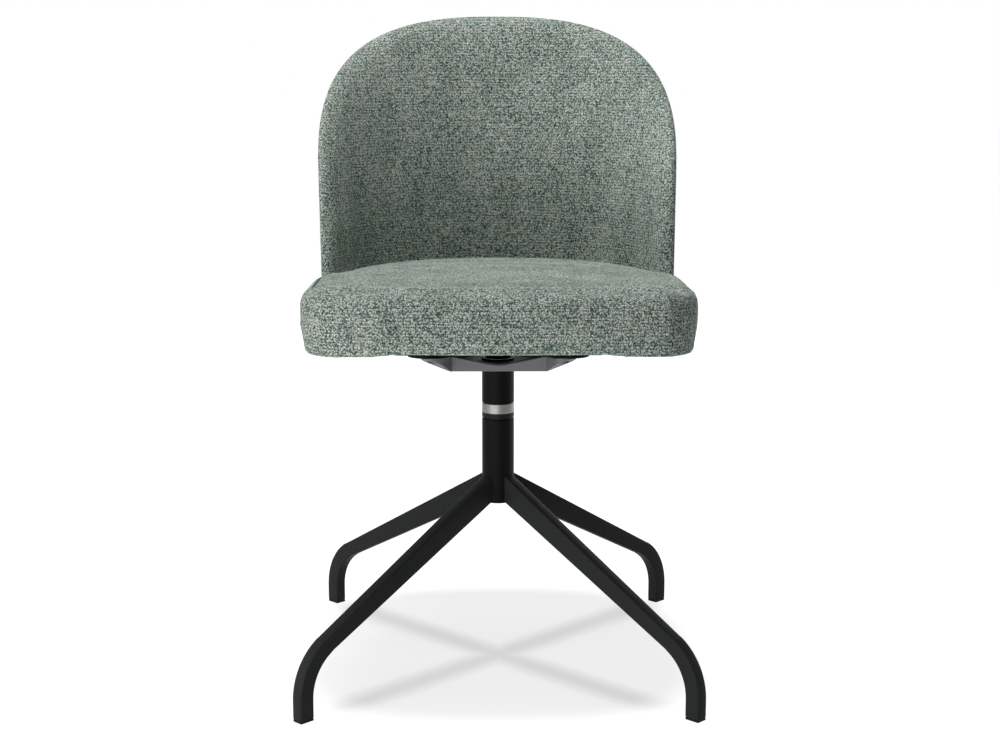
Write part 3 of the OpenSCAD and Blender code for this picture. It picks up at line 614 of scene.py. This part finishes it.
def copied_shell(node, name):
    """A new object with a clean copy of a node's mesh, its triangles paired into quads."""
    piece = bpy.data.objects.new(name, NODES[node].data.copy())
    bpy.context.scene.collection.objects.link(piece)
    only(piece)
    bpy.ops.object.mode_set(mode="EDIT")
    bpy.ops.mesh.select_all(action="SELECT")
    bpy.ops.mesh.remove_doubles(threshold=MM / 100)
    bpy.ops.mesh.tris_convert_to_quads(face_threshold=PAIR_FACES, shape_threshold=PAIR_SHAPE)
    bpy.ops.mesh.normals_make_consistent(inside=False)
    bpy.ops.object.mode_set(mode="OBJECT")
    return piece


MOST_LOST = 0.003
SHARP_FOLD = math.radians(50)


def rounded(piece, levels):
    """Subdivides a piece smoothly, and lets it stay as full as its own points, folds apart."""
    trial = bpy.data.objects.new("trial", piece.data.copy())
    bpy.context.scene.collection.objects.link(trial)
    modify(trial, "SUBSURF", levels=levels, render_levels=levels)
    drawn = [vertex.co.copy() for vertex in trial.data.vertices[:len(piece.data.vertices)]]
    bpy.data.objects.remove(trial)
    shape = bmesh.new()
    shape.from_mesh(piece.data)
    for vertex, place in zip(shape.verts, drawn):
        if max(edge.calc_face_angle(0) for edge in vertex.link_edges) < SHARP_FOLD:
            lost = vertex.co - place
            vertex.co += lost * min(1.0, MOST_LOST / max(lost.length, MM / 100))
    shape.to_mesh(piece.data)
    shape.free()
    modify(piece, "SUBSURF", levels=levels, render_levels=levels)


def profile(points, at):
    """The value at a place, in straight runs between the points."""
    for (start, low), (end, high) in zip(points, points[1:]):
        if at < end:
            return low + (high - low) * max(0.0, at - start) / (end - start)
    return points[-1][1]


def fill_rolls(piece):
    """Pushes out the rolls between the top and the sides, and the lower edge all round, and
    rounds the low corners."""
    for vertex in piece.data.vertices:
        normal = vertex.normal.copy()
        if vertex.co.z > SHOULDER_Z and normal.z > 0:
            vertex.co += normal * SHOULDER_FILL * abs(normal.x) * normal.z
        elif vertex.co.z < LOW_ROLL_Z and normal.z < 0:
            amount = profile(LOW_FILL, abs(vertex.co.x))
            vertex.co += normal * amount * min(1.0, -1.5 * normal.z)
        vertex.co.x *= 1 - CORNER_DRAW * ramp_down(vertex.co.z, *CORNER_Z)
        vertex.co.z += max(0.0, LOW_EDGE_Z - vertex.co.z) * LOW_EDGE_FLAT
    piece.data.update()


def soften(piece, times, factor=0.5):
    modify(piece, "SMOOTH", iterations=times, factor=factor)


PRESSURE = 4.0
CLOTH_FRAMES = 20
DRAWN_IN = 0.5
CLOTH_RULES = {
    "quality": 4,
    "mass": 0.3,
    "tension_stiffness": 12,
    "compression_stiffness": 12,
    "shear_stiffness": 6,
    "bending_stiffness": 1.5,
    "use_pressure": True,
    "uniform_pressure_force": PRESSURE,
}


def inflate(piece, held, cap):
    """Cloth under inner pressure. It starts a little drawn in, its held points stay where they
    are and every other point swells outwards by no more than the cap."""
    only(piece)
    group = piece.vertex_groups.new(name="held")
    for vertex in piece.data.vertices:
        weight = min(1.0, held(vertex))
        if weight > 0:
            group.add([vertex.index], weight, "REPLACE")
        vertex.co -= vertex.normal * cap * DRAWN_IN * (1 - weight)
    before = [vertex.co.copy() for vertex in piece.data.vertices]
    cloth = piece.modifiers.new("cloth", "CLOTH")
    rules = cloth.settings
    for key, value in CLOTH_RULES.items():
        setattr(rules, key, value)
    rules.effector_weights.gravity = 0
    rules.vertex_group_mass = group.name
    cloth.collision_settings.use_collision = False
    cloth.point_cache.frame_start = 1
    cloth.point_cache.frame_end = CLOTH_FRAMES
    scene = bpy.context.scene
    for step in range(1, CLOTH_FRAMES + 1):
        scene.frame_set(step)
    shaped = piece.evaluated_get(bpy.context.evaluated_depsgraph_get()).to_mesh()
    after = [vertex.co.copy() for vertex in shaped.vertices]
    piece.evaluated_get(bpy.context.evaluated_depsgraph_get()).to_mesh_clear()
    piece.modifiers.remove(cloth)
    piece.vertex_groups.remove(group)
    scene.frame_set(1)
    outward = [vertex.normal.copy() for vertex in piece.data.vertices]
    for vertex, old, new, normal in zip(piece.data.vertices, before, after, outward):
        vertex.co = old + normal * min(cap, max(0.0, (new - old).dot(normal)))
    piece.data.update()


def write_weave(piece, seam, row):
    """Keeps each point's signed distance to the seam and its place across the rows of the
    weave, both in millimetres, for the fabric."""
    for name, measure in (("seam_way", seam), ("weave_row", row)):
        layer = piece.data.attributes.new(name, "FLOAT", "POINT")
        layer.data.foreach_set("value", [measure(v) for v in piece.data.vertices])


def sew_in(piece, distance, width, depth):
    """Draws the cloth in along a seam."""
    normals = [vertex.normal.copy() for vertex in piece.data.vertices]
    for vertex, normal in zip(piece.data.vertices, normals):
        near = abs(distance(vertex)) / width
        if near < 3:
            vertex.co -= normal * depth * math.exp(-near * near)
    piece.data.update()


FAR_AWAY = 99.0
SHOULDER_Z = 0.465
LOW_ROLL_Z = 0.432
SHOULDER_FILL = 0.0048
LOW_FILL = ((0.0, 0.0038), (0.125, 0.0038), (0.15, 0.0015), (0.18, 0.0024), (0.2, 0.0038),
            (0.22, 0.003))
CORNER_DRAW = 0.009
CORNER_Z = (0.424, 0.446)
LOW_EDGE_Z = 0.4222
LOW_EDGE_FLAT = 0.7
SEAT_FRONT = -242.0
SIDE_SEAM_Z = 491.8
SIDE_SEAM_FALL = 0.02
SIDE_SEAM_FRONT = -178.0
SIDE_SEAM_ROUND = 22.0
SEAT_SIDE = 0.150
SEAT_VOXEL = 0.005
SEAT_SWELL = 0.0026
SEAM_WIDTH = 2.4
SEAM_DEPTH = 0.0014
FLAT_FACING = (-0.9, -0.3)
FRONT_ROLL_Y = (170.0, 205.0)
UNDER_Z = (0.428, 0.446)
BESIDE_BACK_Y = (0.0, 0.03)
BESIDE_BACK_TOP_Z = 0.484


def side_seam(vertex):
    """Signed distance to the seam round a side panel of the seat, in millimetres."""
    place = vertex.co
    if abs(place.x) < SEAT_SIDE:
        return FAR_AWAY
    across = (SIDE_SEAM_FRONT + SIDE_SEAM_ROUND) - place.y / MM
    up = (place.z + (place.y - SIDE_SEAM_FRONT * MM) * SIDE_SEAM_FALL) / MM
    up -= SIDE_SEAM_Z - SIDE_SEAM_ROUND
    outside = math.hypot(max(across, 0), max(up, 0))
    return outside + min(max(across, up), 0) - SIDE_SEAM_ROUND


def no_seam(vertex):
    return FAR_AWAY


def height_row(vertex):
    return vertex.co.z / MM


def seat_row(vertex):
    """Rows run level round the sides and across the top, and follow the roll of the front."""
    x, y, z = vertex.co / MM
    if side_seam(vertex) < 0:
        return z
    flat = ramp_down(-vertex.normal.z, *FLAT_FACING)
    over = ramp_down(-y, *FRONT_ROLL_Y)
    return z + (y - SEAT_FRONT) * max(flat, over)


def ramp_down(value, full, none):
    """1 up to full, 0 from none on."""
    return min(1.0, max(0.0, (none - value) / (none - full)))


def make_seat():
    form = copied_shell("seat_cushion", "seat_form")
    rounded(form, 2)
    seat = bpy.data.objects.new("seat_upholstery", form.data.copy())
    bpy.context.scene.collection.objects.link(seat)
    modify(seat, "REMESH", mode="VOXEL", voxel_size=SEAT_VOXEL, use_smooth_shade=True)
    soften(seat, 4)
    modify(seat, "SHRINKWRAP", target=form, wrap_method="NEAREST_SURFACEPOINT")
    bpy.data.objects.remove(form)
    fill_rolls(seat)
    inflate(seat, seat_held, SEAT_SWELL)
    soften(seat, 2)
    modify(seat, "SUBSURF", levels=1, render_levels=1)
    sew_in(seat, side_seam, SEAM_WIDTH, SEAM_DEPTH)
    write_weave(seat, side_seam, seat_row)
    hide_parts("seat_cushion")
    return finished(seat, "grey_tweed", "seat")


def seat_held(vertex):
    """Held where the cover wraps the board below and where the back presses on it."""
    place = vertex.co
    under = ramp_down(place.z, *UNDER_Z)
    back = ramp_down(-place.y, *BESIDE_BACK_Y) if place.z < BESIDE_BACK_TOP_Z else 0
    return max(under, back)


# ---------------------------------------------------------------- shape of the back

BACK_HALF = 220.0
BACK_REAR = 250.0
REAR_R = 260.0
CORNER_R = 170.0
BACK_TOP_Z = 809.0
BACK_LOW_Z = 429.0
ARCH_START_Z = 633.5
ARCH_HALF = 331.5
ARCH_POWER = 2.571
ARCH_SOFT = 14.0
PAD_FULL = 50.0
PAD_REACH = 86.0
PAD_EDGE = 26.0
ROLL = 5.0
ROLL_AT = 30.0
ROLL_LOW_Z = 488.0
ROLL_FULL_Z = 540.0
LOW_CORNER_R = 16.0
SEAM_INSET = 10.0
SHELL_INSET = 14.0
PANEL_T = 5.0
SHELL_T = 6.0
LAYER_GAP = 0.7
LEAN = 0.13
FLARE = 0.05
TAPER = 0.25
PLAN_Z = 485.0
PLAN_TURN = math.asin((BACK_HALF - CORNER_R) / (REAR_R - CORNER_R))
PLAN_X = math.sin(PLAN_TURN) * (REAR_R - CORNER_R)
PLAN_Y = BACK_REAR - REAR_R + math.cos(PLAN_TURN) * (REAR_R - CORNER_R)
REAR_RUN = REAR_R * PLAN_TURN
CORNER_RUN = CORNER_R * (math.pi / 2 - PLAN_TURN)


def back_point(s, z, deep):
    """Millimetres: s along the back's plan from its middle, z up, deep inwards of the outside."""
    way = abs(s)
    if way < REAR_RUN:
        turn = way / REAR_R
        x = (REAR_R - deep) * math.sin(turn)
        y = BACK_REAR - REAR_R + (REAR_R - deep) * math.cos(turn)
    elif way < REAR_RUN + CORNER_RUN:
        turn = PLAN_TURN + (way - REAR_RUN) / CORNER_R
        x = PLAN_X + (CORNER_R - deep) * math.sin(turn)
        y = PLAN_Y + (CORNER_R - deep) * math.cos(turn)
    else:
        x = BACK_HALF - deep
        y = PLAN_Y - (way - REAR_RUN - CORNER_RUN)
    up = z - PLAN_Z
    side = -1 if s < 0 else 1
    return Vector((side * x * (1 + FLARE * up / BACK_HALF), y + LEAN * up, z))


def rise(up):
    return (up + math.sqrt(up * up + ARCH_SOFT * ARCH_SOFT)) / 2


ARCH_RISE = rise(BACK_TOP_Z - ARCH_START_Z)


def arch_share(z):
    return rise(z - ARCH_START_Z) / ARCH_RISE


def edge_s(z):
    share = arch_share(z)
    return (ARCH_HALF * max(0.0, 1 - share) ** (1 / ARCH_POWER)
            + TAPER * (rise(z - ARCH_START_Z) - z + ARCH_START_Z) * (1 - share))


START_SHARE = arch_share(ARCH_START_Z)
START_S = edge_s(ARCH_START_Z)


def arch_z(t):
    up = ARCH_RISE * (1 - abs(t) ** ARCH_POWER * (1 - START_SHARE))
    return ARCH_START_Z + up - ARCH_SOFT * ARCH_SOFT / 4 / up


def pad_depth(s, z):
    """Thickness of the padding, thin at the outline and full in the middle."""
    top = max(0.0, arch_z(min(1.0, abs(s) / START_S)) - z)
    side = max(0.0, edge_s(z) - abs(s))
    away = side * top / max(2.0, math.hypot(side, top))
    roll = ROLL * ramp_down(-z, -ROLL_FULL_Z, -ROLL_LOW_Z)
    return (PAD_FULL * (1 - math.exp(-(away + PAD_EDGE) / PAD_REACH))
            + roll * away / ROLL_AT * math.exp(1 - away / ROLL_AT))


def sheet_place(t, v, inset):
    """The place (s, z) of t across and v up in the back's outline, its low corners rounded."""
    low = BACK_LOW_Z + inset
    z = low + (arch_z(t) - inset - low) * v
    half = edge_s(min(z, ARCH_START_Z)) - inset
    r = max(0.03, LOW_CORNER_R - inset)
    a = min(1.0, max(0.0, 1 - (1 - abs(t)) * half / r))
    b = min(1.0, max(0.0, 1 - (z - low) / r))
    side = -1 if t < 0 else 1
    return (t * half + side * r * (a * math.sqrt(1 - b * b / 2) - a),
            z - r * (b * math.sqrt(1 - a * a / 2) - b))


def sheet_point(t, v, inset, fixed, part):
    s, z = sheet_place(t, v, inset)
    return back_point(s, z, fixed + part * pad_depth(s, z))


def across(i, count):
    return math.sin(math.pi / 2 * (2 * i / count - 1))


def upward(j, count):
    return (1 - math.cos(math.pi * j / count)) / 2


def layered_sheet(name, cols, rows, outer, rings, inner):
    """A closed padded sheet: an outer skin, rings round its edge and an inner skin.
    Each skin or ring is (inset, fixed depth, share of the padding)."""
    shape = bmesh.new()

    def put(t, v, layer):
        return shape.verts.new(sheet_point(t, v, *layer) * MM)

    def skin(layer):
        return [[put(across(i, cols), upward(j, rows), layer) for i in range(cols + 1)]
                for j in range(rows + 1)]

    def rim_ij(k):
        if k < cols:
            return k, 0
        if k < cols + rows:
            return cols, k - cols
        if k < 2 * cols + rows:
            return 2 * cols + rows - k, rows
        return 0, 2 * (cols + rows) - k

    around = 2 * (cols + rows)
    back_skin = skin(outer)
    loops = [[back_skin[rim_ij(k)[1]][rim_ij(k)[0]] for k in range(around)]]
    for layer in rings:
        loops.append([put(across(rim_ij(k)[0], cols), upward(rim_ij(k)[1], rows), layer)
                      for k in range(around)])
    front_skin = skin(inner)
    loops.append([front_skin[rim_ij(k)[1]][rim_ij(k)[0]] for k in range(around)])
    for j in range(rows):
        for i in range(cols):
            for grid, order in ((back_skin, 1), (front_skin, -1)):
                corners = [grid[j][i], grid[j][i + 1], grid[j + 1][i + 1], grid[j + 1][i]]
                shape.faces.new(corners[::order])
    for first, second in zip(loops, loops[1:]):
        for k in range(around):
            shape.faces.new([first[k], second[k], second[(k + 1) % around],
                             first[(k + 1) % around]])
    for face in shape.faces:
        face.smooth = True
    bmesh.ops.recalc_face_normals(shape, faces=shape.faces)
    mesh = bpy.data.meshes.new(name)
    shape.to_mesh(mesh)
    shape.free()
    piece = bpy.data.objects.new(name, mesh)
    bpy.context.scene.collection.objects.link(piece)
    return piece


EDGE_ROUND = [(0.42, 0.02), (0.06, 0.2), (-0.08, 0.5), (0.04, 0.8), (0.4, 0.96)]
BACK_COLS = 52
BACK_ROWS = 36
BACK_RINGS = 3 + len(EDGE_ROUND)
BACK_SWELL = 0.003
RIM_LIFT = 0.6
PANEL_GAP = 0.3
LOW_HELD_Z = (0.485, 0.505)
RIM_HELD = (1, 6)


def make_back():
    ledge = PANEL_T + LAYER_GAP * 1.5
    rear = PANEL_T + SHELL_T + LAYER_GAP * 2
    rings = [(SHELL_INSET, ledge, 0), (SEAM_INSET, ledge, 0), (SEAM_INSET, RIM_LIFT, 0)]
    rings += [(share * SEAM_INSET, 0, part) for share, part in EDGE_ROUND]
    back = layered_sheet("back_upholstery", BACK_COLS, BACK_ROWS, (SHELL_INSET, rear, 0),
                         rings, (SEAM_INSET, 0, 1))
    inflate(back, back_held, BACK_SWELL)
    soften(back, 1)
    modify(back, "SUBSURF", levels=2, render_levels=2)
    write_weave(back, no_seam, height_row)
    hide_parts("back_cushion")
    return finished(back, "grey_tweed", "seat")


def back_held(vertex):
    """Held low, where the seat stands against it, round its rim and all over its rear."""
    skin = (BACK_COLS + 1) * (BACK_ROWS + 1)
    in_front = vertex.index - skin - 2 * (BACK_COLS + BACK_ROWS) * BACK_RINGS
    if in_front < 0:
        return 1
    column, row = in_front % (BACK_COLS + 1), in_front // (BACK_COLS + 1)
    inward = min(column, BACK_COLS - column, BACK_ROWS - row)
    return max(ramp_down(vertex.co.z, *LOW_HELD_Z), ramp_down(inward, *RIM_HELD))


def make_outer_panel():
    edge = SEAM_INSET + PANEL_GAP
    panel = layered_sheet("back_rear_upholstery", BACK_COLS, BACK_ROWS, (SHELL_INSET, 0, 0),
                          [(edge, PANEL_T / 3, 0)], (edge, PANEL_T, 0))
    modify(panel, "SUBSURF", levels=1, render_levels=1)
    write_weave(panel, no_seam, height_row)
    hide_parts("back_outer_panel")
    return finished(panel, "grey_tweed", "seat")


def make_lining():
    """Lining under the seat board: one flat cut, held stretched round its edge."""
    low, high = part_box("dust_cover")
    lining = copied_shell("dust_cover", "seat_lining")
    only(lining)
    bpy.ops.object.mode_set(mode="EDIT")
    pick_vertices(lining, lambda p: p.z > (low.z + high.z) / 2)
    bpy.ops.mesh.delete(type="VERT")
    bpy.ops.mesh.select_all(action="SELECT")
    bpy.ops.mesh.quads_convert_to_tris()
    bpy.ops.object.mode_set(mode="OBJECT")
    modify(lining, "SOLIDIFY", thickness=high.z - low.z, offset=-1)
    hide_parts("dust_cover")
    return finished(lining, "black_cloth", "seat")


make_camera()
make_world()
make_floor()
for lamp_row in LAMPS:
    area_light(*lamp_row)
dress_nodes()
for leg_name, leg_turn in (("leg_front_left", -135), ("leg_front_right", -45),
                           ("leg_rear_left", 135), ("leg_rear_right", 45)):
    make_leg(leg_name + "_bar", leg_turn)
make_seat()
make_back()
make_outer_panel()
make_lining()
